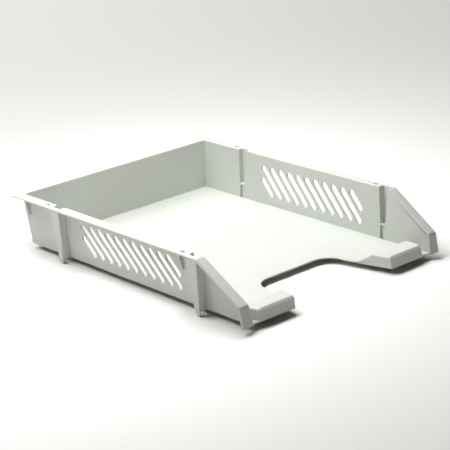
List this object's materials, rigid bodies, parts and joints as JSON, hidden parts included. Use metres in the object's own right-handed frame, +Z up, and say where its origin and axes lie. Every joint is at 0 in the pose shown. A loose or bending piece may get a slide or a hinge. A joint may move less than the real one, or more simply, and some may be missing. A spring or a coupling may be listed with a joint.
{
  "type": "letter tray",
  "caption": "Stackable desk tray for letter paper: slotted leaning sides, flanged rim, sloping front wings, stacking posts and an open front with a finger cut-out.",
  "frame": {"origin": "centre of the footprint, on the surface that the four feet stand on", "axes": "+Y from the open front to the back wall, +X to the tray's right seen from the front, +Z up"},
  "size_m": [0.266, 0.352, 0.0595],
  "materials": {
    "tray_plastic": "satin, fine moulded grain"
  },
  "bodies": {
    "root": {"floor_panel": "tray_plastic", "left_front_lip": "tray_plastic", "right_front_lip": "tray_plastic", "back_wall": "tray_plastic", "back_rim": "tray_plastic", "left_rear_wall": "tray_plastic", "right_rear_wall": "tray_plastic", "left_vent_wall": "tray_plastic", "right_vent_wall": "tray_plastic", "left_wing": "tray_plastic", "right_wing": "tray_plastic", "left_side_rim": "tray_plastic", "right_side_rim": "tray_plastic", "left_wing_rim": "tray_plastic", "right_wing_rim": "tray_plastic", "left_front_flange": "tray_plastic", "right_front_flange": "tray_plastic", "rear_left_post": "tray_plastic", "rear_right_post": "tray_plastic", "front_left_post": "tray_plastic", "front_right_post": "tray_plastic", "rear_left_foot": "tray_plastic", "rear_right_foot": "tray_plastic", "front_left_foot": "tray_plastic", "front_right_foot": "tray_plastic", "left_gussets": "tray_plastic", "right_gussets": "tray_plastic"}
  },
  "joints": []
}
